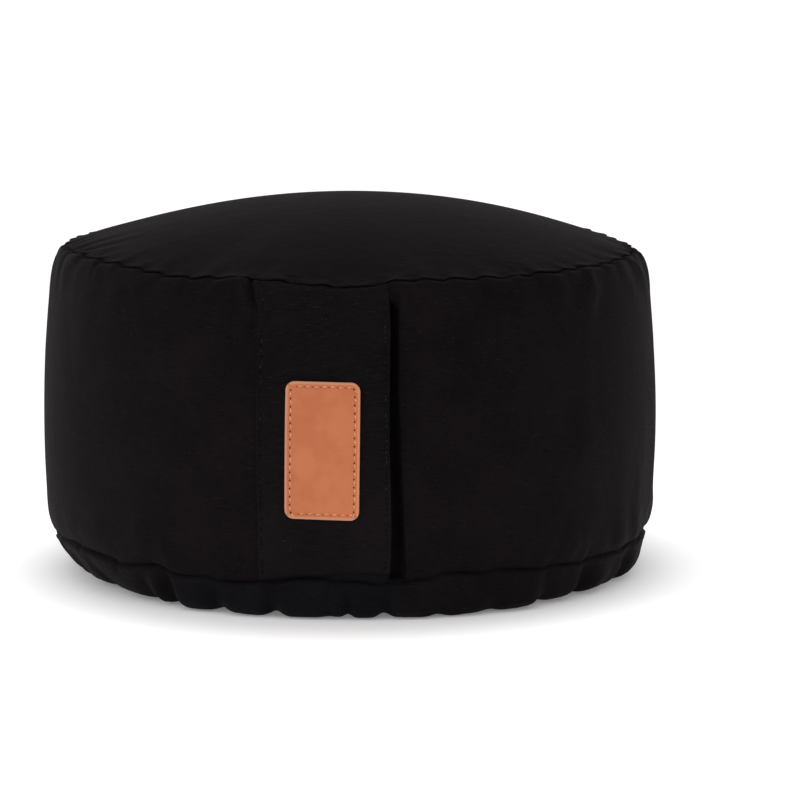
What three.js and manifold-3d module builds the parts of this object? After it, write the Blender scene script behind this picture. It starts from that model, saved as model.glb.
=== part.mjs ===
// A round floor cushion for yoga and meditation: a filled drum of black cotton with a crowned top,
// a bulging side wall and a gathered base, a sewn-on flap down the front and a leather label on it.
// Millimetres, +Z up. The origin is the middle of the base, on the cushion's upright axis,
// and the label faces -Y. An azimuth is an angle round the axis, from -Y towards +X.

import * as THREE from "three";
import { mergeVertices } from "three/addons/utils/BufferGeometryUtils.js";
import Module from "manifold-3d";

const wasm = await Module();
wasm.setup();

// Filled body
const CROWN_HEIGHT = 24; // of the top panel above its seam
const TOP_SEAM = { r: 148, z: 170.5 };
const BASE_SEAM = { r: 152.8, z: 20.5 };
const SEGMENTS = 180; // round the axis
const CROWN_RADII = [141, 127, 107, 81, 49, 0];

// One row for each ring of the gathered base and the side wall, from the middle of the base upwards.
// gather is how far the ring takes part in the base's folds.
const RINGS = [
  { r: 0, z: 0, gather: 0 },
  { r: 96, z: 0, gather: 0 },
  { r: 121, z: 0, gather: 0.25 },
  { r: 133, z: 0, gather: 0.8 },
  { r: 140.4, z: 0.4, gather: 1 },
  { r: 145.6, z: 5.2, gather: 0.95 },
  { r: 150, z: 12.5, gather: 0.7 },
  { r: 153.4, z: 18.8, gather: 0.25 },
  { r: BASE_SEAM.r, z: BASE_SEAM.z, gather: 0.15 },
  { r: 154.6, z: 22.4, gather: 0.1 },
  { r: 156, z: 28, gather: 0.05 },
  { r: 157.6, z: 44, gather: 0 },
  { r: 158.6, z: 66, gather: 0 },
  { r: 159, z: 88, gather: 0 },
  { r: 158.2, z: 110, gather: 0 },
  { r: 157, z: 130, gather: 0 },
  { r: 155.6, z: 147, gather: 0 },
  { r: 153.6, z: 159, gather: 0 },
  { r: 151.2, z: 166.4, gather: 0 },
  { r: 149.4, z: 169.4, gather: 0 },
];
const FIRST_WALL_RING = 9; // the lip above the base seam
const WIDEST = Math.max(...RINGS.map((ring) => ring.r));

// Waves of the wall where the filling lies unevenly behind it: how many go round, how far they stand
// out, where they start, and how far they turn for each millimetre up.
const SWELLS = [
  { waves: 4, size: 0.5, start: 0, turn: 0.02 },
  { waves: 9, size: 0.35, start: 1.3, turn: -0.03 },
];

// Seams. Their tables say how far each rises above its own height, or sinks below it, round the cushion.
const SEAM_FADE = 42; // how far from a seam its rise and fall dies out
const SEAM_NOTCH = 1.2; // how deep the top seam is cut in
const TOP_SEAM_LINE = [
  { azimuth: -150, rise: -2.2 },
  { azimuth: -115, rise: -2.8 },
  { azimuth: -88, rise: -1.4 },
  { azimuth: -65, rise: 0.8 },
  { azimuth: -50, rise: 0.1 },
  { azimuth: -29, rise: -2.5 },
  { azimuth: -16, rise: -0.5 },
  { azimuth: 6, rise: -4 },
  { azimuth: 14, rise: -1.2 },
  { azimuth: 40, rise: -1.8 },
  { azimuth: 75, rise: -2.2 },
  { azimuth: 108, rise: -4.6 },
  { azimuth: 150, rise: -1.6 },
];
const BASE_SEAM_LINE = [
  { azimuth: -160, rise: 0.4 },
  { azimuth: -120, rise: -1 },
  { azimuth: -85, rise: 0.6 },
  { azimuth: -60, rise: 2.4 },
  { azimuth: -42, rise: -0.6 },
  { azimuth: -35, rise: 0.8 },
  { azimuth: -27, rise: -2.2 },
  { azimuth: -14, rise: -2.6 },
  { azimuth: -4, rise: 0.8 },
  { azimuth: 13, rise: -1.8 },
  { azimuth: 25, rise: 1.6 },
  { azimuth: 55, rise: -0.4 },
  { azimuth: 90, rise: 1 },
  { azimuth: 130, rise: -1.2 },
];

// Creases where the wall is gathered into its seams. lean is how far one turns by its other end.
const WALL_CREASES = [
  { azimuth: -79, from: TOP_SEAM.z, to: 138, lean: 4, width: 2.2, depth: 1.5 },
  { azimuth: -70, from: TOP_SEAM.z, to: 146, lean: 3, width: 1.9, depth: 1.3 },
  { azimuth: -22.5, from: TOP_SEAM.z, to: 148, lean: -4, width: 1.8, depth: 1.6 },
  { azimuth: -17, from: TOP_SEAM.z, to: 146, lean: 1.6, width: 1.5, depth: 2.4 },
  { azimuth: 30, from: TOP_SEAM.z, to: 148, lean: 1.5, width: 1.8, depth: 1.4 },
  { azimuth: 96, from: TOP_SEAM.z, to: 140, lean: -4, width: 2.4, depth: 1.7 },
  { azimuth: 151, from: TOP_SEAM.z, to: 145, lean: 3, width: 2, depth: 1.4 },
  { azimuth: -142, from: TOP_SEAM.z, to: 142, lean: -3, width: 2.2, depth: 1.6 },
  { azimuth: -36, from: BASE_SEAM.z, to: 46, lean: 2.5, width: 2, depth: 1.8 },
  { azimuth: 72, from: BASE_SEAM.z, to: 44, lean: -2.5, width: 2.2, depth: 1.5 },
  { azimuth: 172, from: BASE_SEAM.z, to: 48, lean: 3, width: 2, depth: 1.6 },
];

// Folds of the base: the troughs that show at the front, and the rule for the rest
const FRONT_TROUGHS = [
  { azimuth: -67, width: 2.4, depth: 0.7 },
  { azimuth: -56, width: 2.4, depth: 0.8 },
  { azimuth: -44.5, width: 2.2, depth: 0.6 },
  { azimuth: -35.5, width: 2.8, depth: 1 },
  { azimuth: -24, width: 2.6, depth: 0.9 },
  { azimuth: -10.3, width: 2.4, depth: 0.9 },
  { azimuth: 1.5, width: 2, depth: 0.35 },
  { azimuth: 12.2, width: 2.4, depth: 0.7 },
  { azimuth: 24, width: 2.6, depth: 0.9 },
  { azimuth: 35.5, width: 2.4, depth: 0.8 },
  { azimuth: 46, width: 2.2, depth: 0.8 },
];
const BACK_TROUGHS = { first: 56, last: 283, count: 23, width: 2.5, shift: 1.6, depth: 0.8 };
const TROUGH_IN = 6.5; // how far a trough draws in
const TROUGH_UP = 4.2; // and how far it lifts off the floor

// Flap down the front: a doubled strip, sewn down at its left edge and free at its right one.
// Its free side is lifted off the wall, less so near its hem and its top.
const CLEARANCE = 0.35; // between cloth and cloth
const FLAP = { left: -12.2, right: 11.7, hem: 24.4, top: 169.4, thickness: 1.8 };
const FLAP_LIFT = { height: 2.4, start: -3, hemFrom: 12.4, hemTo: 44.4, topFrom: 143.4 };
const FLAP_COLUMNS = 14;

// Slit beside the flap, where the wall's cloth turns in under it. It narrows upwards.
const SLIT = { left: 9.4, rightBelow: 14.5, rightAbove: 13.2, depth: 8.5, bottom: 23.2, top: 168 };
const SLIT_ROLL = 1.6; // how many degrees its rounded right edge takes
const SLIT_COLUMNS = 8;

// Leather label
const LABEL = { width: 38, height: 69, middle: 86.5, thickness: 1.8, corner: 4.5, tilt: 0.7 };
const LABEL_SPARE = 1.05; // how much larger its slab is before it is trimmed
const LABEL_PUNCH = 60; // how deep the shape reaches that trims it
const LABEL_COLUMNS = 10;
const LABEL_ROWS = 14;

const radians = THREE.MathUtils.degToRad;
const fade = (distance) => 1 - THREE.MathUtils.smoothstep(Math.abs(distance), 0, SEAM_FADE);
const bump = (azimuth, middle, width) => {
  const away = THREE.MathUtils.euclideanModulo(azimuth - middle + 180, 360) - 180;
  return Math.exp(-((away / width) ** 2));
};

// The troughs behind are about evenly spaced, each a little off its place, its width and its depth.
function backTroughs() {
  const { first, last, count, width, shift, depth } = BACK_TROUGHS;
  return Array.from({ length: count }, (_, i) => ({
    azimuth: THREE.MathUtils.lerp(first, last, i / (count - 1)) + shift * Math.sin(2.3 * i + 0.4),
    width: width * (1 + 0.2 * Math.sin(1.7 * i)),
    depth: depth * (1 + 0.25 * Math.sin(3.1 * i + 1)),
  }));
}

const TROUGHS = [...FRONT_TROUGHS, ...backTroughs()];

// 0 on a bulge of the gathered base and up to 1 in a trough.
function troughAt(azimuth) {
  const depths = TROUGHS.map((trough) => trough.depth * bump(azimuth, trough.azimuth, trough.width));
  return Math.min(1, depths.reduce((sum, depth) => sum + depth));
}

// Follows a seam's table round the axis, easing from each row to the next.
function seamRise(line, azimuth) {
  const turned = THREE.MathUtils.euclideanModulo(azimuth - line[0].azimuth, 360) + line[0].azimuth;
  const rows = [...line, { azimuth: line[0].azimuth + 360, rise: line[0].rise }];
  const after = rows.findIndex((row) => row.azimuth > turned);
  const [low, high] = [rows[after - 1], rows[after]];
  const share = THREE.MathUtils.smoothstep(turned, low.azimuth, high.azimuth);
  return THREE.MathUtils.lerp(low.rise, high.rise, share);
}

// A crease is deepest at its seam and dies out at its other end.
function creaseDepth(crease, azimuth, z) {
  const along = THREE.MathUtils.clamp((z - crease.from) / (crease.to - crease.from), 0, 1);
  return crease.depth * (1 - along) * bump(azimuth, crease.azimuth + crease.lean * along, crease.width);
}

// How far the wall stands out or in: the filling swells it, most at mid height, and creases draw it in.
function wallSwell(azimuth, z) {
  const up = (z - BASE_SEAM.z) / (TOP_SEAM.z - BASE_SEAM.z);
  const waves = SWELLS.map((s) => s.size * Math.sin(s.waves * radians(azimuth) + s.start + s.turn * z));
  const creases = WALL_CREASES.map((crease) => creaseDepth(crease, azimuth, z));
  const total = (values) => values.reduce((sum, value) => sum + value);
  return Math.sin(Math.PI * up) * total(waves) - total(creases);
}

// The height that a ring's point has once both seams' rise and fall is added.
function heightAt(azimuth, z) {
  const top = seamRise(TOP_SEAM_LINE, azimuth) * fade(z - TOP_SEAM.z);
  const lifted = THREE.MathUtils.smoothstep(z, 0, BASE_SEAM.z);
  const base = seamRise(BASE_SEAM_LINE, azimuth) * fade(z - BASE_SEAM.z) * lifted;
  return z + top + base;
}

function wallRadius(azimuth, z) {
  const above = RINGS.findIndex((ring, i) => i > FIRST_WALL_RING && ring.z >= z);
  const [low, high] = [RINGS[above - 1], RINGS[above]];
  const r = THREE.MathUtils.mapLinear(z, low.z, high.z, low.r, high.r);
  return r + wallSwell(azimuth, z);
}

// The heights of the wall's rings between two heights.
function wallHeights(low, high) {
  return RINGS.map((ring) => ring.z).filter((z) => z > low && z < high);
}

function onAxisFrame(azimuth, r, z) {
  return new THREE.Vector3(r * Math.sin(radians(azimuth)), -r * Math.cos(radians(azimuth)), z);
}

// Moves every point of a geometry to place(point, index).
function reshape(geometry, place) {
  const points = geometry.attributes.position;
  const point = new THREE.Vector3();
  for (let i = 0; i < points.count; i++) {
    const moved = place(point.fromBufferAttribute(points, i), i);
    points.setXYZ(i, moved.x, moved.y, moved.z);
  }
  geometry.computeVertexNormals();
  return geometry;
}

// A solid for cutting, and back again
function toSolid(geometry) {
  const bare = new THREE.BufferGeometry();
  bare.setIndex(geometry.index);
  bare.setAttribute("position", geometry.attributes.position.clone());
  const merged = mergeVertices(bare, 1e-3);
  return new wasm.Manifold(
    new wasm.Mesh({
      numProp: 3,
      vertProperties: merged.attributes.position.array,
      triVerts: new Uint32Array(merged.index.array),
    }),
  );
}

function toGeometry(solid) {
  const { vertProperties, triVerts } = solid.getMesh();
  const geometry = new THREE.BufferGeometry();
  geometry.setAttribute("position", new THREE.BufferAttribute(vertProperties, 3));
  geometry.setIndex(new THREE.BufferAttribute(triVerts, 1));
  geometry.computeVertexNormals();
  return geometry;
}

// The top seam's notch and the crown, as rings like those of the wall, up to the middle of the top.
function crownRings() {
  const notch = { r: TOP_SEAM.r - SEAM_NOTCH / 2, z: TOP_SEAM.z - SEAM_NOTCH / 2, gather: 0 };
  const rings = [notch, { r: TOP_SEAM.r - SEAM_NOTCH, z: TOP_SEAM.z + SEAM_NOTCH, gather: 0 }];
  for (const r of CROWN_RADII) {
    rings.push({ r, z: TOP_SEAM.z + CROWN_HEIGHT * (1 - (r / TOP_SEAM.r) ** 2), gather: 0 });
  }
  return rings;
}

function buildBody() {
  const rings = [...RINGS, ...crownRings()];
  const outline = rings.map((ring) => new THREE.Vector2(ring.r, ring.z));
  const drum = new THREE.LatheGeometry(outline, SEGMENTS);
  reshape(drum, (_, i) => {
    const ring = rings[i % rings.length];
    const azimuth = (Math.floor(i / rings.length) * 360) / SEGMENTS;
    const trough = ring.gather * troughAt(azimuth);
    const swell = ring.r < TOP_SEAM.r || ring.z < BASE_SEAM.z ? 0 : wallSwell(azimuth, ring.z);
    const seamShare = ring.z > TOP_SEAM.z ? (ring.r / TOP_SEAM.r) ** 2 : 1;
    const height = ring.z + (heightAt(azimuth, ring.z) - ring.z) * seamShare;
    return onAxisFrame(azimuth, ring.r + swell - trough * TROUGH_IN, height + trough * TROUGH_UP);
  });
  return toGeometry(toSolid(drum).subtract(toSolid(buildSlit())));
}

// What is taken out of the wall beside the flap: a bent block whose right side curves out to the wall.
function buildSlit() {
  const heights = [SLIT.bottom, ...wallHeights(SLIT.bottom, SLIT.top), SLIT.top];
  const rows = heights.length - 1;
  const block = new THREE.BoxGeometry(1, 1, 1, SLIT_COLUMNS, 1, rows);
  return reshape(block, (point) => {
    const z = heights[Math.round((point.z + 0.5) * rows)];
    const up = (z - SLIT.bottom) / (SLIT.top - SLIT.bottom);
    const right = THREE.MathUtils.lerp(SLIT.rightBelow, SLIT.rightAbove, up);
    const azimuth = THREE.MathUtils.lerp(SLIT.left, right, point.x + 0.5);
    const roll = THREE.MathUtils.clamp((azimuth - right) / SLIT_ROLL + 1, 0, 1);
    const depth = SLIT.depth * Math.sqrt(1 - roll ** 2);
    const outward = point.y < 0 ? SLIT.depth : -depth;
    return onAxisFrame(azimuth, wallRadius(azimuth, z) + outward, heightAt(azimuth, z));
  });
}

// How far the flap's back stands off the wall: flat on it at the sewn edge, and lifted at the free one.
function flapStandoff(azimuth, z) {
  const across = THREE.MathUtils.smoothstep(azimuth, FLAP_LIFT.start, FLAP.right);
  const aboveHem = THREE.MathUtils.smoothstep(z, FLAP_LIFT.hemFrom, FLAP_LIFT.hemTo);
  const belowTop = 1 - THREE.MathUtils.smoothstep(z, FLAP_LIFT.topFrom, FLAP.top);
  return CLEARANCE + FLAP_LIFT.height * across * aboveHem * belowTop;
}

function buildFlap() {
  const heights = [FLAP.hem, ...wallHeights(FLAP.hem, FLAP.top), FLAP.top];
  const rows = heights.length - 1;
  const strip = new THREE.BoxGeometry(1, 1, 1, FLAP_COLUMNS, 1, rows);
  return reshape(strip, (point) => {
    const azimuth = THREE.MathUtils.lerp(FLAP.left, FLAP.right, point.x + 0.5);
    const z = heights[Math.round((point.z + 0.5) * rows)];
    const outward = (0.5 - point.y) * FLAP.thickness;
    const r = wallRadius(azimuth, z) + flapStandoff(azimuth, z) + outward;
    return onAxisFrame(azimuth, r, heightAt(azimuth, z));
  });
}

// The label is a bent slab, trimmed to a rectangle with round corners.
function buildLabel() {
  const turn = THREE.MathUtils.radToDeg(LABEL.width / WIDEST) * LABEL_SPARE;
  const slab = new THREE.BoxGeometry(1, 1, 1, LABEL_COLUMNS, 1, LABEL_ROWS);
  reshape(slab, (point) => {
    const azimuth = point.x * turn;
    const z = LABEL.middle + point.z * LABEL.height * LABEL_SPARE;
    const outward = 2 * CLEARANCE + FLAP.thickness + (0.5 - point.y) * LABEL.thickness;
    const lift = flapStandoff(azimuth, z) - CLEARANCE;
    return onAxisFrame(azimuth, wallRadius(azimuth, z) + lift + outward, z);
  });
  const [w, h, c] = [LABEL.width / 2, LABEL.height / 2, LABEL.corner];
  const face = new THREE.Shape();
  face.moveTo(-w + c, -h);
  face.lineTo(w - c, -h);
  face.absarc(w - c, -h + c, c, -Math.PI / 2, 0);
  face.lineTo(w, h - c);
  face.absarc(w - c, h - c, c, 0, Math.PI / 2);
  face.lineTo(-w + c, h);
  face.absarc(-w + c, h - c, c, Math.PI / 2, Math.PI);
  face.lineTo(-w, -h + c);
  face.absarc(-w + c, -h + c, c, Math.PI, 1.5 * Math.PI);
  const options = { depth: LABEL_PUNCH, bevelEnabled: false, curveSegments: 5 };
  const punch = new THREE.ExtrudeGeometry(face, options);
  punch.rotateX(Math.PI / 2);
  punch.rotateY(radians(LABEL.tilt));
  punch.translate(0, LABEL_PUNCH / 2 - WIDEST, LABEL.middle);
  return toGeometry(toSolid(slab).intersect(toSolid(punch)));
}

function addMesh(group, name, geometry, color, roughness) {
  const material = new THREE.MeshStandardMaterial({ color, roughness, metalness: 0 });
  const mesh = new THREE.Mesh(geometry, material);
  mesh.name = name;
  group.add(mesh);
}

const cushion = new THREE.Group();
addMesh(cushion, "cushion_body", buildBody(), 0x191617, 0.95);
addMesh(cushion, "front_flap", buildFlap(), 0x181516, 0.95);
addMesh(cushion, "leather_label", buildLabel(), 0xc17553, 0.6);

export default cushion;
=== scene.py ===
"""A round yoga cushion: stuffed cotton cover, front flap over the filling slit, sewn-on leather label."""
import math

import bmesh
import bpy
import numpy as np
from mathutils import Matrix, Vector
from mathutils.geometry import interpolate_bezier


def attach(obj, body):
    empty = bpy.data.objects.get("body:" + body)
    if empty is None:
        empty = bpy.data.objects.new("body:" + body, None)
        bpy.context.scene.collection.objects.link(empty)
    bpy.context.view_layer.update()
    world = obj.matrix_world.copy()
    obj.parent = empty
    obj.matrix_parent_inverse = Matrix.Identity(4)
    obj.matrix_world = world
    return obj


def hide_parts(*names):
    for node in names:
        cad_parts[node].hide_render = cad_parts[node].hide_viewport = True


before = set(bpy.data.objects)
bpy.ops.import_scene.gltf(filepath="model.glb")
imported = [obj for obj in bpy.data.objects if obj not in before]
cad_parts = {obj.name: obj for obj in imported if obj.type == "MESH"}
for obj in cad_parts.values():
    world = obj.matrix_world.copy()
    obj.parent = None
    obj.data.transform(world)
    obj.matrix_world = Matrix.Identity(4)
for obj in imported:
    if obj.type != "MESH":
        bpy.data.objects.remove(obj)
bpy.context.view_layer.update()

# Lengths in millimetres and azimuths in degrees, from the front (-Y) towards +X, unless a line says otherwise
MM = 0.001
TOP_SEAM = (148.0, 170.5)  # radius, height
BASE_SEAM = (152.6, 20.5)
SEAM_FADE = 42.0  # how far from a seam its rise and fall dies out

# The cover's outline from the middle of the base to the middle of the top
OUTLINE = [
    # start, its handle, the end's handle, end, rows
    ((0, 0), (40, 0), (90, 0), (137, 0), 8),
    ((137, 0), (151, 0), (155, 9.5), BASE_SEAM, 15),
    (BASE_SEAM, (156.5, 24), (157.2, 34), (157.6, 44), 11),
    ((157.6, 44), (159.2, 74), (159.2, 104), (156.4, 138), 24),
    ((156.4, 138), (155.2, 151), (154.2, 166), TOP_SEAM, 18),
    (TOP_SEAM, (145, 171.3), (141.1, 172.4), (136.5, 173.75), 9),
    ((136.5, 173.75), (110.3, 181.1), (59.5, 194.5), (0, 194.5), 22),
]
# How finely the cover is divided round the axis
SECTORS = [
    # from, to, steps
    (-180, -86, 52),
    (-86, -18, 58),
    (-18, -10.5, 18),
    (-10.5, 8, 16),
    (8, 17, 24),
    (17, 60, 38),
    (60, 180, 66),
]

# How the seams rise and fall
TOP_SEAM_LINE = [
    # azimuth, rise
    (-150, -2.2), (-115, -2.8), (-88, -1.4), (-65, 0.8), (-50, 0.1), (-29, -2.5), (-16, -0.5),
    (6, -4), (14, -1.2), (40, -1.8), (75, -2.2), (108, -4.6), (150, -1.6),
]
BASE_SEAM_LINE = [
    (-160, 0.4), (-120, -1), (-85, 0.6), (-60, 2.4), (-42, -0.6), (-35, 0.8), (-27, -2.2), (-14, -2.6),
    (-4, 0.8), (13, -1.8), (25, 1.6), (55, -0.4), (90, 1), (130, -1.2),
]

# Slow swell of the wall over the filling
SWELLS = [
    # waves round, size, start, turn a millimetre up
    (4, 0.5, 0, 0.02),
    (9, 0.35, 1.3, -0.03),
]

# Creases of the wall that start at a seam and die out
WALL_CREASES = [
    # azimuth, from, to, lean, width, depth
    (-79, 170.5, 138, 4, 2.4, 0.4),
    (-71, 170.5, 140, 2, 1.9, 0.9),
    (-62, 170.5, 152, -2, 1.6, 0.5),
    (-18.5, 170.5, 148, -3.8, 1.0, 1.3),
    (-14.6, 170.5, 153, 2.6, 0.9, 3.2),
    (30, 170.5, 148, 1.5, 1.8, 1.4),
    (96, 170.5, 140, -4, 2.4, 1.7),
    (151, 170.5, 145, 3, 2, 1.4),
    (-142, 170.5, 142, -3, 2.2, 1.6),
    (-36, 20.5, 46, 2.5, 2, 1.8),
    (72, 20.5, 44, -2.5, 2.2, 1.5),
    (172, 20.5, 48, 3, 2, 1.6),
]

# Small dimples of the wall, taller than wide
DIMPLES = [
    # azimuth, height, width, half height, lean, depth
    (-12.9, 147, 0.8, 6, 0.02, 1.0), (-13.2, 128, 0.9, 8, 0, 0.4), (-30, 150, 3, 12, -0.08, 0.5),
    (-48, 62, 4, 9, 0.1, 0.5), (-26, 96, 2.4, 16, 0.06, 0.45), (22, 122, 2.6, 18, -0.05, 0.5),
    (27, 70, 3, 14, 0.08, 0.45), (17.6, 150, 1.4, 10, 0.03, 0.5), (-60, 128, 3.4, 14, -0.05, 0.6),
    (48, 96, 3.5, 20, 0.04, 0.6), (82, 60, 4, 14, -0.06, 0.6), (118, 120, 4, 16, 0.05, 0.6),
    (160, 80, 4, 18, 0.04, 0.6), (-168, 120, 4, 15, -0.05, 0.6), (-125, 70, 4, 16, 0.06, 0.6),
    (-100, 120, 3.4, 14, -0.04, 0.6),
]

# Troughs between the folds of the gathered base
FRONT_TROUGHS = [
    # azimuth, width, depth
    (-68, 2.6, 0.3), (-56, 2.2, 0.3), (-38.5, 1.8, 0.45), (-32.5, 1.7, 1.0), (-21.5, 1.8, 0.7),
    (-10, 1.6, 0.8), (1, 1.4, 0.25), (4.3, 0.7, 0.75), (11.6, 1.5, 0.7), (22, 1.6, 0.4), (33, 1.8, 0.4),
    (45.5, 2.3, 0.7),
]
BACK_TROUGHS = (56, 283, 23)  # first azimuth, last azimuth, count
TROUGH_IN = 6.5  # how far a trough draws in
TROUGH_UP = 2.8  # and how far it lifts off the floor
GATHER_RADII = (112, 138)  # between these the folds grow to their full depth
FOOT_RADIUS = 133  # the cloth is held on the floor as far out as here
# How far the folds reach out beyond the outline, or stay short of it
BASE_REACH = [
    # azimuth, reach
    (-150, 0), (-105, -1), (-84, -5.5), (-56, -7.5), (-40, -3), (-28, 1.5), (-12, 4), (6, 4), (20, 7),
    (36, 7), (52, 2), (70, -1), (110, 0.5),
]

# Short radial creases of the top, which die out towards its middle
TOP_CREASES = [
    # azimuth, inner radius, lean, width, depth
    (-84, 108, -6, 1.5, 1.6), (-77.5, 112, -2, 1.6, 1.5), (-71, 104, 3, 1.9, 2.0), (-65, 110, 6, 1.7, 1.5),
    (-57, 124, 1, 1.2, 0.5), (-29, 130, -1, 1.1, 0.4), (-17, 126, 1, 1.2, 0.5), (13, 128, -1, 1.0, 0.5),
    (36, 126, 2, 1.3, 0.9), (39.5, 122, -1, 1.1, 1.0), (43, 128, -2, 1.1, 0.7), (66, 122, 2, 1.5, 0.8),
    (97, 116, -2, 1.6, 0.9), (128, 124, 2, 1.3, 0.6), (151, 118, -1, 1.6, 0.9), (-158, 122, 2, 1.4, 0.7),
    (-139, 116, 2, 1.6, 1.0), (-112, 122, -2, 1.4, 0.7),
]

# The stuffed cloth: cut a little wide, pushed out by the filling, held at its seams
CUT_SPARE = 0.012  # as a share of its size
FILL_PRESSURE = 0.8
SETTLE_FRAMES = 14
HELD_BAND = 0.3  # how near a seam it is held
UNEVEN_START, UNEVEN_SEED = 0.05, 5  # the random unevenness that its puckers start from
PUCKER_CAP = 2.4  # the deepest pucker that is kept

# Where the seams' stitching breaks the cloth into short scallops
TOP_SCALLOPS = [-71, -62, -54, -47, -40.5, -35, -28.5, -23, -15.5, -7.5, 1, 6, 12, 18.5, 24.5, 31]
BASE_SCALLOPS = [-71, -60, -46, -32.5, -21.5, -10, 1, 12, 21.5, 32]
TOP_SCALLOP, BASE_SCALLOP = (6.6, 2.2), (13, 1.6)  # usual length in degrees, swing up and down

# The sharp little fold beside the flap's upper left corner
FOLD_TOP, FOLD_LEAN, FOLD_LENGTH = -14.7, 2.6, 16  # azimuth, degrees to the right, way down

# Flap
CLEARANCE = 0.35  # between wall and flap
FLAP_LEFT, FLAP_RIGHT = -11.9, 11.95
FLAP_HEM, FLAP_TOP = 22.0, 169.7
HEM_RISE = 4.0  # how much higher the hem is at its free end
FLAP_THICKNESS = 1.7
FLAP_GRID = (84, 100)  # steps across and up, before it is subdivided
FREE_LIFT = 2.4  # how far its free edge stands off
LIFT_ACROSS, LIFT_UP, LIFT_DOWN = (-3, 11.7), (12.4, 44.4), (143.4, FLAP_TOP)  # where that sets in and ends
FLAP_RADIUS = 162.5  # round which the label bends
FLAP_DEGREE = 2.75  # length of a degree round its edges
EDGE_SEAM = 2.1  # how far in from its edges the flap is stitched
EDGE_STITCH, EDGE_PITCH, EDGE_LIFT = (1.9, 0.75, 0.6), 2.6, 0.16  # a stitch's size, spacing and lift
FLAP_SWELLS = [
    # azimuth, height, width, half height, size
    (-5, 150, 4, 8, 1.1), (-8, 163, 2, 6, -0.5), (5, 152, 3, 7, 0.8), (4, 38, 6, 5, 0.5),
]

# The strip of the wall under the hem that takes the base's cotton
BELOW_HEM_MIDDLE, BELOW_HEM_HALF, BELOW_HEM_HEIGHT = 4.8, 7, 9  # two azimuths and a length

# Slit
SLIT_LEFT, SLIT_DEPTH = 9.6, 8.5
SLIT_FOOT = 3.4  # how much further right it starts at its foot
SLIT_ROLL = 1.7  # how many degrees its rounded right edge takes
TUCK_FROM, TUCK_SLOPE = 11.7, 2.4  # azimuth from which the tuck above it slants, and its rise a degree
SLIT_RIGHT = [
    # height, azimuth
    (23, 15.1), (50, 14.5), (80, 14.0), (117, 13.6), (160, 13.9),
]

# Label
LABEL_WIDTH, LABEL_HEIGHT, LABEL_MIDDLE = 37.3, 68.8, 86.5
LABEL_THICKNESS, LABEL_CORNER, LABEL_TILT = 1.8, 4.5, 0.7
LABEL_GAP = 0.12  # between flap and label
LABEL_ROUNDING = 0.45  # of its cut edges
LABEL_LOOPS = [0.5, 0.7, 0.9, 0.5, 0.5, 0.9]  # steps from its edge inwards
LABEL_CUTS = (24, 40)  # strips across and up
LABEL_SEAM, LABEL_PITCH = 2.6, 4.13  # how far in its holes are, and how far apart
HOLE_SIZE, HOLE_LIFT = (1.05, 1.05, 0.3), 0.12
LABEL_STITCH, STITCH_LIFT = (2.3, 0.55, 0.42), 0.1
STITCH_MIDDLE, STITCH_TIP = 1.75, 2.6  # how far on from its hole a stitch has its middle and its aim


# Measures and shapes shared by the pieces
def ease(value, low, high):
    share = np.clip((value - low) / (high - low), 0, 1)
    return share * share * (3 - 2 * share)


def apart(azimuth, middle):
    return (azimuth - middle + 180) % 360 - 180


def bump(azimuth, middle, width):
    return np.exp(-((apart(azimuth, middle) / width) ** 2))


def ridge(distance, width):
    return np.exp(-((distance / width) ** 2))


def polar(points):
    azimuth = np.degrees(np.arctan2(points[:, 0], -points[:, 1]))
    return azimuth, np.hypot(points[:, 0], points[:, 1]), points[:, 2]


def round_axis(azimuth, radius, height):
    turn = np.radians(azimuth)
    return np.stack(np.broadcast_arrays(radius * np.sin(turn), -radius * np.cos(turn), height), axis=1)


def points_of(mesh):
    flat = np.empty(len(mesh.vertices) * 3)
    mesh.vertices.foreach_get("co", flat)
    return flat.reshape(-1, 3) / MM


def move_points(mesh, points):
    mesh.vertices.foreach_set("co", (points * MM).ravel())
    mesh.update()


def seam_rise(line, azimuth):
    rows = line + [(line[0][0] + 360, line[0][1])]
    places, rises = (np.array(column, float) for column in zip(*rows))
    turned = (azimuth - places[0]) % 360 + places[0]
    after = np.clip(np.searchsorted(places, turned, side="right"), 1, len(rows) - 1)
    share = ease(turned, places[after - 1], places[after])
    return rises[after - 1] + (rises[after] - rises[after - 1]) * share


def near_seam(distance):
    return 1 - ease(np.abs(distance), 0, SEAM_FADE)


def height_at(azimuth, height):
    """The height on the wall once both seams' rise and fall is added."""
    top = seam_rise(TOP_SEAM_LINE, azimuth) * near_seam(height - TOP_SEAM[1])
    base = seam_rise(BASE_SEAM_LINE, azimuth) * near_seam(height - BASE_SEAM[1])
    return height + top + base * ease(height, 0, BASE_SEAM[1])


def wall_swell(azimuth, height):
    up = np.clip((height - BASE_SEAM[1]) / (TOP_SEAM[1] - BASE_SEAM[1]), 0, 1)
    total = 0
    for waves, size, start, turn in SWELLS:
        total = total + size * np.sin(waves * np.radians(azimuth) + start + turn * height)
    total = total * np.sin(np.pi * up)
    for middle, low, high, lean, width, depth in WALL_CREASES:
        along = np.clip((height - low) / (high - low), 0, 1)
        total = total - depth * (1 - along) * bump(azimuth, middle + lean * along, width)
    return total


def trough_at(azimuth):
    """0 on a bulge of the gathered base and up to 1 in a trough."""
    first, last, count = BACK_TROUGHS
    troughs = list(FRONT_TROUGHS)
    for i in range(count):
        middle = first + (last - first) * i / (count - 1) + 2.9 * math.sin(2.3 * i + 0.4)
        width = 2.2 * (1 + 0.35 * math.sin(1.7 * i))
        depth = 0.6 * (1 + 0.55 * math.sin(3.7 * i + 1))
        troughs.append((middle, width, depth))
    return np.minimum(1, sum(depth * bump(azimuth, middle, width) for middle, width, depth in troughs))


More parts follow.
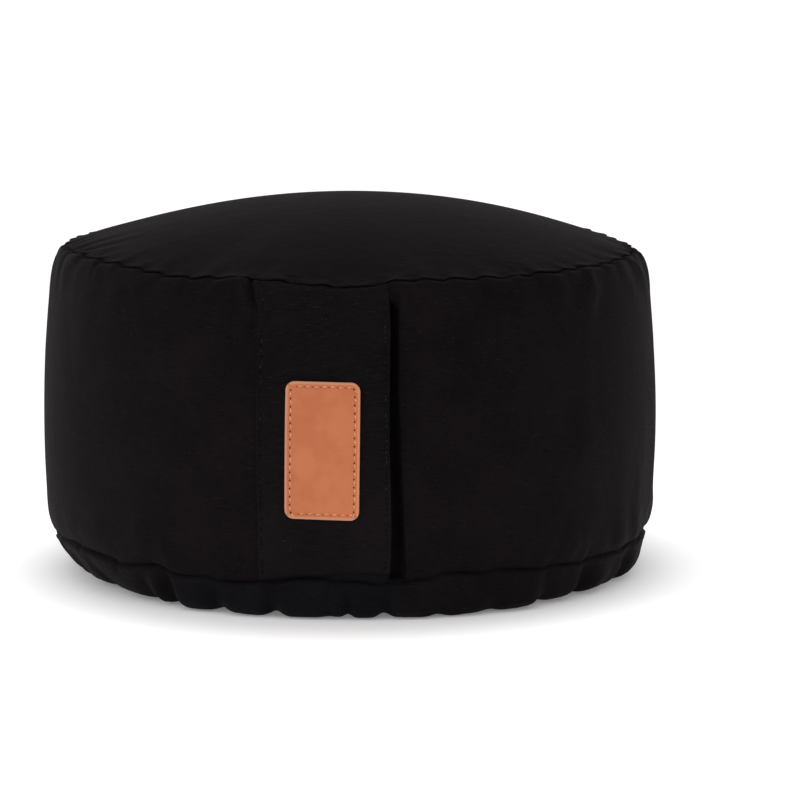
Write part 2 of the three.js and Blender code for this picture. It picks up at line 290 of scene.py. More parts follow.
def outline_points():
    chain = []
    for start, out_handle, in_handle, end, rows in OUTLINE:
        corners = [Vector((*corner, 0)) for corner in (start, out_handle, in_handle, end)]
        chain += interpolate_bezier(*corners, rows + 1)[1 if chain else 0:]
    return np.array([(p.x, p.y) for p in chain])


# The outline's points, their distance along it, and where its seams and the held foot are
CHAIN = outline_points()
ALONG = np.concatenate([[0], np.cumsum(np.hypot(*np.diff(CHAIN, axis=0).T))])
BASE_ROW = int(np.argmin(np.hypot(*(CHAIN - BASE_SEAM).T)))
TOP_ROW = int(np.argmin(np.hypot(*(CHAIN - TOP_SEAM).T)))
FOOT_ALONG = float(np.interp(FOOT_RADIUS, CHAIN[:BASE_ROW, 0], ALONG[:BASE_ROW]))


def wall_radius(azimuth, height):
    rows = CHAIN[BASE_ROW:TOP_ROW + 1]
    return np.interp(height, rows[:, 1], rows[:, 0]) + wall_swell(azimuth, height)


# From a shape to a piece
def new_piece(name, bm, material):
    bmesh.ops.recalc_face_normals(bm, faces=bm.faces)
    mesh = bpy.data.meshes.new(name)
    bm.to_mesh(mesh)
    bm.free()
    piece = bpy.data.objects.new(name, mesh)
    bpy.context.scene.collection.objects.link(piece)
    mesh.materials.append(material)
    mesh.shade_smooth()
    return piece


def subdivide(piece):
    """Divides each face in four, rounded, once and for all."""
    rounding = piece.modifiers.new("rounding", "SUBSURF")
    rounding.levels = rounding.render_levels = 1
    rounding.use_limit_surface = False
    graph = bpy.context.evaluated_depsgraph_get()
    finer = bpy.data.meshes.new_from_object(piece.evaluated_get(graph), depsgraph=graph)
    piece.modifiers.clear()
    piece.data = finer
    finer.shade_smooth()


def facing(place, ahead, outward):
    """The turn and place of something small that points ahead and faces outward."""
    ahead, outward = Vector(ahead).normalized(), Vector(outward).normalized()
    side = outward.cross(ahead).normalized()
    turn = Matrix((ahead, side, ahead.cross(side))).transposed().to_4x4()
    return Matrix.Translation(Vector(place) * MM) @ turn


def beads(name, places, size, material):
    """One piece of many small rounded beads, such as stitches, of one size."""
    bm = bmesh.new()
    shape = Matrix.Diagonal((*(Vector(size) * MM), 1))
    for place, ahead, outward in places:
        bmesh.ops.create_uvsphere(
            bm, u_segments=6, v_segments=4, radius=0.5, matrix=facing(place, ahead, outward) @ shape,
        )
    piece = new_piece(name, bm, material)
    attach(piece, "root")
    return piece


# Cover
def spun_cover(material):
    """The cover as a spun shell, with its distance along the outline kept on each point."""
    bm = bmesh.new()
    along_layer = bm.verts.layers.float.new("along")
    ring = []
    for (radius, height), along in zip(CHAIN, ALONG):
        vert = bm.verts.new(Vector((0, radius, height)) * MM)
        vert[along_layer] = along
        ring.append(vert)
    geometry = ring + [bm.edges.new(pair) for pair in zip(ring, ring[1:])]
    for start, end, steps in SECTORS:
        spun = bmesh.ops.spin(
            bm, geom=geometry, cent=(0, 0, 0), axis=(0, 0, 1), dvec=(0, 0, 0),
            angle=math.radians(end - start), steps=steps, use_merge=False,
        )
        geometry = spun["geom_last"]
    bmesh.ops.remove_doubles(bm, verts=bm.verts, dist=2e-5)
    return new_piece("cushion_cover", bm, material)


def along_of(mesh):
    along = np.empty(len(mesh.vertices))
    mesh.attributes["along"].data.foreach_get("value", along)
    return along


def top_creases(azimuth, radius):
    total = 0
    for middle, inner, lean, width, depth in TOP_CREASES:
        inside = np.clip((TOP_SEAM[0] - radius) / (TOP_SEAM[0] - inner), 0, 1)
        share = (1 - inside) ** 1.5 * ease(inside, -0.02, 0.12)
        total = total - depth * share * bump(azimuth, middle + lean * inside, width * (1 + 0.3 * inside))
    return total


def dimples(azimuth, height):
    total = 0
    for middle, level, width, tall, lean, depth in DIMPLES:
        away = apart(azimuth, middle + lean * (height - level)) / width
        total = total - depth * np.exp(-(away ** 2) - ((height - level) / tall) ** 2)
    return total


def shape_cover(mesh):
    """Swells, creases, seams' rise and fall and the gathered base."""
    azimuth, radius, height = polar(points_of(mesh))
    along = along_of(mesh)
    base, crown = along < ALONG[BASE_ROW] - 0.01, along > ALONG[TOP_ROW] + 0.01
    gather = ease(radius, *GATHER_RADII) * (1 - ease(height, 8, 22)) * base
    trough = trough_at(azimuth) * gather
    swell = np.where(base | crown, 0, wall_swell(azimuth, height) + dimples(azimuth, height))
    seam_share = np.where(crown, (radius / TOP_SEAM[0]) ** 2, 1)
    lifted = height + (height_at(azimuth, height) - height) * seam_share
    lifted = lifted + crown * top_creases(azimuth, radius)
    reach = seam_rise(BASE_REACH, azimuth) * ease(radius, *GATHER_RADII) * (1 - ease(height, 3, 20)) * base
    return round_axis(azimuth, radius + swell + reach - trough * TROUGH_IN, lifted + trough * TROUGH_UP)


def settle_cloth(piece, start):
    """Lets the filling push the cloth against its held seams, and returns how its points move."""
    along = along_of(piece.data)
    azimuth = polar(start)[0]
    uneven = np.random.default_rng(UNEVEN_SEED).normal(0, UNEVEN_START, len(start))
    begin = start + round_axis(azimuth, uneven, 0) * (along > FOOT_ALONG)[:, None]
    move_points(piece.data, begin)
    sewn = np.abs(along - ALONG[TOP_ROW]) < HELD_BAND
    sewn |= np.abs(along - ALONG[BASE_ROW]) < HELD_BAND
    sewn |= along < FOOT_ALONG
    group = piece.vertex_groups.new(name="sewn")
    group.add(np.flatnonzero(sewn).tolist(), 1.0, "REPLACE")
    cloth = piece.modifiers.new("cloth", "CLOTH")
    settings = cloth.settings
    settings.quality = 6
    settings.mass = 0.02
    settings.tension_stiffness = settings.compression_stiffness = 60
    settings.shear_stiffness = 5
    settings.bending_stiffness = 0.5
    settings.shrink_min = settings.shrink_max = -CUT_SPARE
    settings.use_pressure = True
    settings.uniform_pressure_force = FILL_PRESSURE
    settings.effector_weights.gravity = 0
    settings.vertex_group_mass = "sewn"
    cloth.collision_settings.use_collision = False
    cloth.point_cache.frame_start, cloth.point_cache.frame_end = 1, SETTLE_FRAMES
    for moment in range(1, SETTLE_FRAMES + 1):
        bpy.context.scene.frame_set(moment)
    graph = bpy.context.evaluated_depsgraph_get()
    moved = points_of(piece.evaluated_get(graph).data) - begin
    piece.modifiers.clear()
    piece.vertex_groups.clear()
    bpy.context.scene.frame_set(1)
    return moved


def pucker_share(azimuth, radius, height, along):
    """How much of the settled cloth's puckers stays: most beside the seams and least under the flap."""
    top, base = along - ALONG[TOP_ROW], along - ALONG[BASE_ROW]
    crown, low = top > 0, base < 0
    on_crown = 0.4 * (1 - ease(top, 4, 34))
    on_base = 0.35 * ease(along, FOOT_ALONG, FOOT_ALONG + 8)
    wall = 0.16 + 0.6 * np.maximum(1 - ease(-top, 4, 34), 1 - ease(base, 3, 26))
    wall = wall * (1 - 0.75 * bump(azimuth, -66, 36)) * (1 - 0.3 * bump(azimuth, 25, 14))
    wall = wall * (1 - 0.9 * ease(azimuth, -15.5, -12) * (1 - ease(azimuth, 13, 17)))
    return np.where(crown, on_crown, np.where(low, on_base, wall))


def keep_puckers(moved, start, along):
    """Takes each ring's mean movement away, so that the measured outline stays and the puckers with it."""
    azimuth, radius, height = polar(start)
    turn = np.radians(azimuth)
    out = moved[:, 0] * np.sin(turn) - moved[:, 1] * np.cos(turn)
    up = moved[:, 2]
    ring = np.unique(np.round(along, 2), return_inverse=True)[1].ravel()
    count = np.bincount(ring)
    out = out - (np.bincount(ring, out) / count)[ring]
    up = up - (np.bincount(ring, up) / count)[ring]
    size = np.hypot(out, up)
    kept = PUCKER_CAP * np.tanh(size / PUCKER_CAP) / np.maximum(size, 1e-9)
    kept = kept * pucker_share(azimuth, radius, height, along)
    return round_axis(azimuth, out * kept, up * kept)


def scallops(azimuth, front, usual):
    """Each point's share along its scallop, how near it is to a meeting of two, and how deep that one is."""
    breaks = list(front)
    span = front[0] + 360 - front[-1]
    count = round(span / usual)
    breaks += [front[-1] + span * i / count + 0.14 * usual * math.sin(2.7 * i) for i in range(1, count)]
    breaks = np.array(breaks + [front[0] + 360])
    turned = (azimuth - breaks[0]) % 360 + breaks[0]
    after = np.clip(np.searchsorted(breaks, turned, side="right"), 1, len(breaks) - 1)
    share = (turned - breaks[after - 1]) / (breaks[after] - breaks[after - 1])
    away = np.minimum(turned - breaks[after - 1], breaks[after] - turned)
    nearest = np.where(share < 0.5, after - 1, after)
    return share, ridge(away, 0.65), 0.25 + 0.75 * np.sin(2.4 * nearest) ** 2


def sew_seams(mesh):
    """Draws the seams in, in short scallops."""
    along = along_of(mesh)
    azimuth, radius, height = polar(points_of(mesh))
    seams = (TOP_ROW, TOP_SCALLOPS, TOP_SCALLOP), (BASE_ROW, BASE_SCALLOPS, BASE_SCALLOP)
    for row, front, (usual, swing) in seams:
        away = along - ALONG[row]
        share, meeting, pinch = scallops(azimuth, front, usual)
        side = np.where(azimuth > 6, -1, 1)
        height = height + side * swing * (share - 0.5) * (1 - meeting) * ridge(away, 5)
        radius = radius - 1.1 * pinch * meeting * ridge(away, np.where(away < 0, 7, 5))
        overhang = np.sin(np.pi * share) * (1 - 0.5 * meeting)
        above = 1 if row == TOP_ROW else -1
        radius = radius + (0.4 + 0.7 * overhang) * ridge(above * away - 2.2, 1.6)
        drawn_in = 1.2 + 0.9 * overhang
        if row == TOP_ROW:
            over_flap = ease(azimuth, FLAP_LEFT - 1.5, FLAP_LEFT)
            over_flap = over_flap * (1 - ease(azimuth, FLAP_RIGHT, FLAP_RIGHT + 1.5))
            radius = radius + 1.5 * over_flap * ridge(away - 2.0, 1.7)
            height = height - 0.5 * over_flap * ridge(away - 1.8, 1.6)
            drawn_in = 1.6 * drawn_in + 0.9 * over_flap
        radius = radius - drawn_in * ridge(away + 0.2, 0.95)
        height = height - 0.5 * overhang * ridge(above * away - 1.4, 1.0) * above
    radius = radius + tucked_fold(azimuth, height) * (np.abs(along - ALONG[TOP_ROW] + 14) < 15)
    height = np.maximum(height, 0)
    move_points(mesh, round_axis(azimuth, radius, height))


def tucked_fold(azimuth, height):
    """The sharp little fold that leans towards the flap's upper left corner, with a soft ridge beside it."""
    down = np.clip((TOP_SEAM[1] - 1.5 - height) / FOLD_LENGTH, 0, 1)
    away = apart(azimuth, FOLD_TOP + FOLD_LEAN * down)
    fading = (1 - down) * ease(down, -0.05, 0.1)
    return (1.3 * ridge(away + 1.1, 0.7) - 3.0 * ridge(away, 0.38) + 0.8 * ridge(away - 0.9, 0.4)) * fading


def open_slit(mesh):
    """Turns the wall's cloth in beside the flap, in a slit that starts below a small tuck at the top seam."""
    along = along_of(mesh)
    azimuth, radius, height = polar(points_of(mesh))
    right = np.interp(height, *zip(*SLIT_RIGHT))
    roll = np.clip((azimuth - right) / SLIT_ROLL + 1, 0, 1)
    left = SLIT_LEFT + SLIT_FOOT * (1 - ease(height, 24, 44))
    opened = ease(azimuth, left - 1.4, left) * np.sqrt(1 - roll ** 2)
    tuck = np.maximum(height + (azimuth - TUCK_FROM) * TUCK_SLOPE, height)
    opened = opened * ease(height, 19.2, 21.7) * (1 - ease(tuck, 157, 163))
    hollow = 1.2 * bump(azimuth, 12.9, 0.8) * ease(tuck, 154, 160) * (along < ALONG[TOP_ROW])
    lip = 0.7 * bump(azimuth, right + 1.1, 1.0) * ease(height, 26, 50) * (1 - ease(height, 150, 166))
    wall = (along > ALONG[BASE_ROW]) & (along < ALONG[TOP_ROW])
    move_points(mesh, round_axis(azimuth, radius - (opened * SLIT_DEPTH + hollow - lip) * wall, height))


def lay_panels(mesh):
    """Gives the wall, the top and the base their own cotton; the base's also covers a short strip of the wall
    just above the base seam, under the hem.
    """
    along = along_of(mesh)
    azimuth = polar(points_of(mesh))[0]
    corners = np.empty(len(mesh.loops), np.int32)
    mesh.loops.foreach_get("vertex_index", corners)
    middle = along[corners].reshape(-1, 4).mean(axis=1)
    beside_hem = np.abs(azimuth[corners].reshape(-1, 4).mean(axis=1) - BELOW_HEM_MIDDLE)
    lowest = ALONG[BASE_ROW] + BELOW_HEM_HEIGHT * (beside_hem < BELOW_HEM_HALF)
    wall, top, base = 0, 1, 2
    panel = np.where(middle > ALONG[TOP_ROW], top, np.where(middle < lowest, base, wall))
    mesh.polygons.foreach_set("material_index", panel.astype(np.int32))


def make_cover():
    piece = spun_cover(wall_cotton())
    piece.data.materials.append(top_cotton())
    piece.data.materials.append(base_cotton())
    start = shape_cover(piece.data)
    shaped = start
    shaped = start + keep_puckers(settle_cloth(piece, start), start, along_of(piece.data))
    move_points(piece.data, shaped)
    subdivide(piece)
    sew_seams(piece.data)
    open_slit(piece.data)
    lay_panels(piece.data)
    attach(piece, "root")
    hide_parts("cushion_body")
    return piece


# Flap
def flap_standoff(azimuth, height):
    """How far the flap's back is off the wall: sewn down at its left edge and lifted at its free one."""
    across = ease(azimuth, *LIFT_ACROSS)
    return CLEARANCE + FREE_LIFT * across * ease(height, *LIFT_UP) * (1 - ease(height, *LIFT_DOWN))


def flap_waves(azimuth, height):
    """Soft waves of the flap's cloth, and the pull of the stitching along its two edges."""
    waves = -1.5 * ridge((height - 137) - 1.3 * (azimuth - 1), 6) * bump(azimuth, 3, 6)
    for middle, level, width, tall, size in FLAP_SWELLS:
        waves = waves + size * np.exp(-((azimuth - middle) / width) ** 2 - ((height - level) / tall) ** 2)
    waves = waves + 0.22 * np.sin(0.09 * height + 0.31 * azimuth) * np.sin(0.05 * height - 0.42 * azimuth + 1)
    for edge, inward in ((FLAP_LEFT, 1), (FLAP_RIGHT, -1)):
        distance = (azimuth - edge) * inward * FLAP_DEGREE - EDGE_SEAM
        waves = waves - 0.45 * ridge(distance, 0.75)
        fullness = 0.16 + 0.14 * np.sin(height * 1.3 + 2 * np.sin(height * 0.31))
        waves = waves + fullness * ridge(distance + 1.2, 0.8)
    return waves


def flap_front(azimuth, height):
    sewn_in = 0.8 * ease(height, 160, 168) + 0.7 * ease(height, 168, FLAP_TOP)
    waves = flap_waves(azimuth, height) - sewn_in
    return wall_radius(azimuth, height) + flap_standoff(azimuth, height) + FLAP_THICKNESS + waves


def hem_height(azimuth):
    return FLAP_HEM + HEM_RISE * ease(azimuth, -4, 7)


def make_flap():
    bm = bmesh.new()
    bmesh.ops.create_grid(bm, x_segments=FLAP_GRID[0], y_segments=FLAP_GRID[1], size=0.5)
    bmesh.ops.solidify(bm, geom=bm.faces, thickness=1)
    piece = new_piece("front_flap_cloth", bm, flap_cotton())
    unit = points_of(piece.data) * MM
    across, up, outer = unit[:, 0] + 0.5, unit[:, 1] + 0.5, np.abs(unit[:, 2]) > 0.5
    across = across + 0.05 * np.sin(2 * np.pi * across)
    azimuth = FLAP_LEFT + (FLAP_RIGHT - FLAP_LEFT) * across
    azimuth = azimuth + ease(azimuth, 0, FLAP_RIGHT) * 0.18 * np.sin((up * 2.6 + 0.2) * np.pi)
    height = hem_height(azimuth) + (FLAP_TOP - hem_height(azimuth)) * up
    back = wall_radius(azimuth, height) + flap_standoff(azimuth, height)
    radius = np.where(outer, flap_front(azimuth, height), back)
    move_points(piece.data, round_axis(azimuth, radius, height_at(azimuth, height)))
    subdivide(piece)
    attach(piece, "root")
    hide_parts("front_flap")
    return piece


def flap_seam_places(azimuth, first, last):
    """Where the stitches of one of the flap's edge seams lie, with their direction and facing."""
    places = []
    for i in range(int((last - first) / EDGE_PITCH)):
        level = first + i * EDGE_PITCH
        wandering = azimuth + 0.06 * math.sin(1.9 * i)
        spot, above = (
            round_axis(wandering, flap_front(azimuth, z) + EDGE_LIFT, height_at(azimuth, z))[0]
            for z in (np.array([level]), np.array([level + 1.0]))
        )
        lean = Vector((0.07 * math.sin(3.3 * i), 0, 0))
        places.append((spot, Vector(above - spot) + lean, (spot[0], spot[1], 0)))
    return places


def make_flap_seams():
    inward = EDGE_SEAM / FLAP_DEGREE
    left = flap_seam_places(FLAP_LEFT + inward, FLAP_HEM + 4, FLAP_TOP - 4)
    right = flap_seam_places(FLAP_RIGHT - inward, FLAP_HEM + HEM_RISE + 3, FLAP_TOP - 5)
    piece = beads("flap_edge_stitches", left + right, EDGE_STITCH, black_thread())
    return piece


# Label
def label_edge_distance(points):
    """How far each flat point lies inside the label's round-cornered edge."""
    beyond = np.abs(points[:, :2]) - np.array([LABEL_WIDTH, LABEL_HEIGHT]) / 2 + LABEL_CORNER
    outside = np.hypot(*np.maximum(beyond, 0).T)
    return LABEL_CORNER - outside - np.minimum(beyond.max(axis=1), 0)


def label_blank():
    """A rectangle with round corners, cut across so that it can bend."""
    bm = bmesh.new()
    bmesh.ops.create_grid(bm, x_segments=1, y_segments=1, size=0.5)
    bmesh.ops.scale(bm, vec=(LABEL_WIDTH, LABEL_HEIGHT, 1), verts=bm.verts)
    bmesh.ops.bevel(
        bm, geom=bm.verts[:], offset=LABEL_CORNER, segments=8, profile=0.5, affect="VERTICES", material=-1,
    )
    for step in LABEL_LOOPS:
        middle = max(bm.faces, key=lambda face: face.calc_area())
        bmesh.ops.inset_region(bm, faces=[middle], thickness=step, use_even_offset=True)
    sizes, normals = (LABEL_WIDTH, LABEL_HEIGHT), ((1, 0, 0), (0, 1, 0))
    for size, count, normal in zip(sizes, LABEL_CUTS, normals):
        for i in range(1, count):
            place = Vector(normal) * (i / count - 0.5) * size
            everything = bm.verts[:] + bm.edges[:] + bm.faces[:]
            bmesh.ops.bisect_plane(bm, geom=everything, plane_co=place, plane_no=normal)
    return bm


def label_place(points):
    """Bends flat label points, given as across, up and outward, onto the flap."""
    tilt = math.radians(LABEL_TILT)
    across = points[:, 0] * math.cos(tilt) + points[:, 1] * math.sin(tilt)
    up = points[:, 1] * math.cos(tilt) - points[:, 0] * math.sin(tilt)
    height = LABEL_MIDDLE + up
    azimuth = np.degrees(across / FLAP_RADIUS)
    seat = wall_radius(azimuth, height) + flap_standoff(azimuth, height) + FLAP_THICKNESS + LABEL_GAP
    return round_axis(azimuth, seat + points[:, 2], height)


def label_relief(points):
    """The face's height over its middle plane: pressed in along the stitching, softly full inside it."""
    inside = label_edge_distance(points)
    full = 0.25 * ease(inside, 3.4, 12)
    return full - 0.32 * ridge(inside - LABEL_SEAM, 0.75) - 0.1 * (1 - ease(inside, 0, 1.4))


def make_label():
    bm = label_blank()
    bmesh.ops.solidify(bm, geom=bm.faces, thickness=LABEL_THICKNESS)
    rim = [edge for edge in bm.edges if len(edge.link_faces) == 2 and edge.calc_face_angle(0) > 1]
    bmesh.ops.bevel(
        bm, geom=rim, offset=LABEL_ROUNDING, segments=3, profile=0.5, affect="EDGES", material=-1,
    )
    piece = new_piece("sewn_label", bm, label_leather())
    flat = points_of(piece.data) * MM
    flat[:, 2] -= flat[:, 2].min()
    inside = label_edge_distance(flat)
    kept = piece.data.attributes.new("inside", "FLOAT", "POINT")
    kept.data.foreach_set("value", np.where(flat[:, 2] > LABEL_THICKNESS - 0.02, inside, inside * 0.2))
    flat[:, 2] += np.where(flat[:, 2] > LABEL_THICKNESS - 0.6, label_relief(flat), 0)
    move_points(piece.data, label_place(flat))
    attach(piece, "root")
    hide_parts("leather_label")


def label_seam():
    """Points and directions of the label's needle holes, a rounded rectangle inside its edge."""
    half_width, half_height = LABEL_WIDTH / 2 - LABEL_SEAM, LABEL_HEIGHT / 2 - LABEL_SEAM
    corner = LABEL_CORNER - LABEL_SEAM
    path = []
    for x, y, first in ((1, 1, 90), (1, -1, 0), (-1, -1, -90), (-1, 1, -180)):
        centre = Vector((x * (half_width - corner), y * (half_height - corner)))
        for step in range(7):
            turn = math.radians(first - step * 15)
            path.append(centre + corner * Vector((math.cos(turn), math.sin(turn))))
    path = np.array([tuple(p) for p in path + path[:1]])
    reach = np.concatenate([[0], np.cumsum(np.hypot(*np.diff(path, axis=0).T))])
    count = round(reach[-1] / LABEL_PITCH)
    stops = (np.arange(count) + 0.35) * reach[-1] / count
    spot = [np.interp(stops, reach, path[:, i]) for i in (0, 1)]
    ahead = [np.interp((stops + 0.3) % reach[-1], reach, path[:, i]) for i in (0, 1)]
    return np.array(spot).T, np.array(ahead).T - np.array(spot).T


def on_label(flat_points, lift):
    flat = np.column_stack([flat_points, np.zeros(len(flat_points))])
    flat[:, 2] = LABEL_THICKNESS + label_relief(flat) + lift
    return label_place(flat)


def make_label_seam():
    """The needle holes, as flat near-black beads of painted shade, and from each a stitch that leans a little
    out of the seam's line.
    """
    spots, ahead = label_seam()
    ahead = ahead / np.hypot(*ahead.T)[:, None]
    ahead *= np.where(ahead[:, 0] - ahead[:, 1] > 0, 1, -1)[:, None]
    slant = np.radians(9 + 5 * np.sin(np.arange(len(spots)) * 2.1))
    leaning = np.stack([
        ahead[:, 0] * np.cos(slant) - ahead[:, 1] * np.sin(slant),
        ahead[:, 0] * np.sin(slant) + ahead[:, 1] * np.cos(slant),
    ], axis=1)
    holes = on_label(spots, HOLE_LIFT)
    middles = on_label(spots + leaning * STITCH_MIDDLE, STITCH_LIFT)
    tips = on_label(spots + leaning * STITCH_TIP, STITCH_LIFT)
    outward = [Vector((p[0], p[1], 0)) for p in holes]
    hole_places = [(p, Vector((0, 0, 1)), o) for p, o in zip(holes, outward)]
    stitch_places = [(m, Vector(t - m), o) for m, t, o in zip(middles, tips, outward)]
    punched = beads("label_needle_holes", hole_places, HOLE_SIZE, hole_shade_brown())
    sewn = beads("label_stitches", stitch_places, LABEL_STITCH, label_thread())


# Finishes, with lengths in metres
THREAD_WAVE = 2 * math.pi / 0.0008  # two threads to a wave
ROUND_THREADS = 1240  # waves round the wall
COTTON_SHINE = {
    "Specular IOR Level": 0.047, "Specular Tint": (1, 0.93, 0.98, 1),
    "Sheen Weight": 0.012, "Sheen Roughness": 0.4, "Sheen Tint": (1, 0.90, 0.98, 1),
}
THICK_THREAD = (0.0150, 0.0120, 0.0132, 1)
LINT = (0.06, 0.056, 0.058, 1)


class Value:
    """A socket of a finish that works in sums like a number; node() adds any other node after it."""

    def __init__(self, tree, socket):
        self.tree, self.socket = tree, socket

    def node(self, kind, settings=None, inputs=None, output=0):
        node = self.tree.nodes.new("ShaderNode" + kind)
        for name, setting in (settings or {}).items():
            setattr(node, name, setting)
        for name, given in (inputs or {}).items():
            if isinstance(given, Value):
                self.tree.links.new(given.socket, node.inputs[name])
            else:
                node.inputs[name].default_value = given
        return Value(self.tree, node.outputs[output])

    def math(self, operation, *others):
        return self.node("Math", {"operation": operation}, dict(enumerate((self, *others))))

    def __add__(self, other):
        return self.math("ADD", other)

    def __sub__(self, other):
        return self.math("SUBTRACT", other)

    def __rsub__(self, other):
        return self * -1 + other

    def __mul__(self, other):
        return self.math("MULTIPLY", other)

    def between(self, low, high):
        """0 below low and 1 above high, eased between them."""
        settings = {"interpolation_type": "SMOOTHSTEP"}
        return self.node("MapRange", settings, {"Value": self, "From Min": low, "From Max": high})

    def axes(self):
        """Its x, y and z."""
        split = self.node("SeparateXYZ", {}, {0: self}).socket.node
        return [Value(self.tree, socket) for socket in split.outputs]

    def stretched(self, x, y, z):
        return self.node("VectorMath", {"operation": "MULTIPLY"}, {0: self, 1: (x, y, z)})

    def noise(self, scale, detail=2.0, roughness=0.5):
        inputs = {"Vector": self, "Scale": scale, "Detail": detail, "Roughness": roughness}
        return self.node("TexNoise", {}, inputs)

    def blend(self, one, other):
        """The first colour where this is 0 and the other where it is 1."""
        return self.node("Mix", {"data_type": "RGBA"}, {0: self, 6: one, 7: other}, output=2)

    __radd__, __rmul__ = __add__, __mul__


def new_finish(name, constants):
    """A material with its unvarying values set, its place coordinates and the shader that takes the rest."""
    material = bpy.data.materials.new(name)
    material.use_nodes = True
    tree = material.node_tree
    shader = tree.nodes["Principled BSDF"]
    for socket, value in constants.items():
        shader.inputs[socket].default_value = value
    place = Value(tree, tree.nodes.new("ShaderNodeTexCoord").outputs["Object"])
    return material, place, shader


def feed(shader, **varying):
    for name, value in varying.items():
        value.tree.links.new(value.socket, shader.inputs[name.replace("_", " ")])


def relief(height, strength, distance, onto=None):
    inputs = {"Height": height, "Strength": strength, "Distance": distance}
    if onto is not None:
        inputs["Normal"] = onto
    return height.node("Bump", {}, inputs)


def cotton(name, weave, slub_stretch, dark, light, slubby, spread=1.0, painted_bounce=0.0, bluish=None):
    """Black cotton: plain weave with thicker threads here and there, and paler low down, which is painted
    light of the floor's bounce.

    bluish holds a share by place and the two colours that take over by that share.
    """
    material, place, shader = new_finish(name, COTTON_SHINE)
    threads = weave(place)
    slub = place.stretched(*slub_stretch).noise(1.0, 1.0, 0.4)
    thick, thin = slub.between(0.645, 0.695), slub.between(0.37, 0.33)
    cloudy = place.noise(34.0, 4.0, 0.6)
    lint = place.noise(900.0, 1.0, 0.5).between(0.72, 0.80)
    # Paler low down, fading out between 45 and 125 mm up: painted light of the floor's bounce
    low = 1 - place.axes()[2].between(0.045, 0.125)
    tone = cloudy.between(0.34, 0.66) * 0.44 - thin * 0.4 + threads * 0.12 + low * painted_bounce + 0.2
    colour = tone.blend(dark, light)
    if bluish:
        share, blue_dark, blue_light = bluish
        colour = share(place).blend(colour, tone.blend(blue_dark, blue_light))
    colour = (thick * slubby).blend(colour, THICK_THREAD)
    colour = (lint * 0.25).blend(colour, LINT)
    fine = relief(threads, 0.25, 0.00012)
    bumpy = relief(thick - thin * 0.8, 0.8 * spread, 0.0003, onto=fine)
    crumple = place.noise(130.0, 3.0, 0.55)
    feed(shader, Base_Color=colour, Normal=relief(crumple, 0.35 * spread, 0.0012, onto=bumpy))
    feed(shader, Roughness=cloudy * 0.12 + 0.76)
    return material


def wall_weave(place):
    """Threads round and up the wall; the number of waves round it is whole, so they meet at the back."""
    x, y, z = place.axes()
    turn = x.math("ARCTAN2", y * -1)
    return (turn * ROUND_THREADS).math("SINE") * (z * THREAD_WAVE).math("SINE")


def flat_weave(place):
    x, y, z = place.axes()
    return (x * THREAD_WAVE).math("SINE") * (y * THREAD_WAVE).math("SINE")


def wall_cotton():
    dark, light = (0.0036, 0.0024, 0.0029, 1), (0.0082, 0.0060, 0.0068, 1)
    # A little painted light of the floor's bounce low down on the wall
    return cotton("wall_cotton", wall_weave, (230, 230, 1900), dark, light, slubby=0.4, painted_bounce=0.1)


def flap_cotton():
    dark, light = (0.0036, 0.0025, 0.0029, 1), (0.0082, 0.0062, 0.0070, 1)
    # More painted light of the floor's bounce low down on the flap
    return cotton(
        "flap_cotton", wall_weave, (210, 210, 1900), dark, light, slubby=0.6, spread=1.15, painted_bounce=0.42,
    )


def top_cotton():
    # Darker than the wall's cotton, though the top is the same black cloth: painted shade, which keeps the
    # top as dark as the wall while more light falls on it from above
    dark, light = (0.0018, 0.0005, 0.0009, 1), (0.0046, 0.0024, 0.0031, 1)
    return cotton("top_cotton", flat_weave, (220, 900, 220), dark, light, slubby=0.12)


def front_share(place):
    """1 at the front, from left of the flap to its slit, and 0 round the rest."""
    x, y, z = place.axes()
    return (x.between(-0.088, -0.058) - x.between(0.024, 0.046)) * (1 - y.between(-0.1, -0.08))


def base_cotton():
    dark, light = (0.0038, 0.0030, 0.0034, 1), (0.0086, 0.0071, 0.0078, 1)
    front = front_share, (0.0034, 0.0031, 0.0042, 1), (0.0080, 0.0076, 0.0100, 1)
    return cotton(
        "base_cotton", wall_weave, (240, 240, 1700), dark, light, slubby=0.1, spread=1.2, bluish=front,
    )


def black_thread():
    material, place, shader = new_finish("black_thread", {"Specular IOR Level": 0.1, "Roughness": 0.8})
    twist = place.stretched(900, 900, 420).noise(1.0)
    colour = twist.between(0.52, 0.6).blend((0.0006, 0.0004, 0.0005, 1), (0.0210, 0.0180, 0.0190, 1))
    feed(shader, Base_Color=colour, Normal=relief(twist, 0.5, 0.0002))
    return material


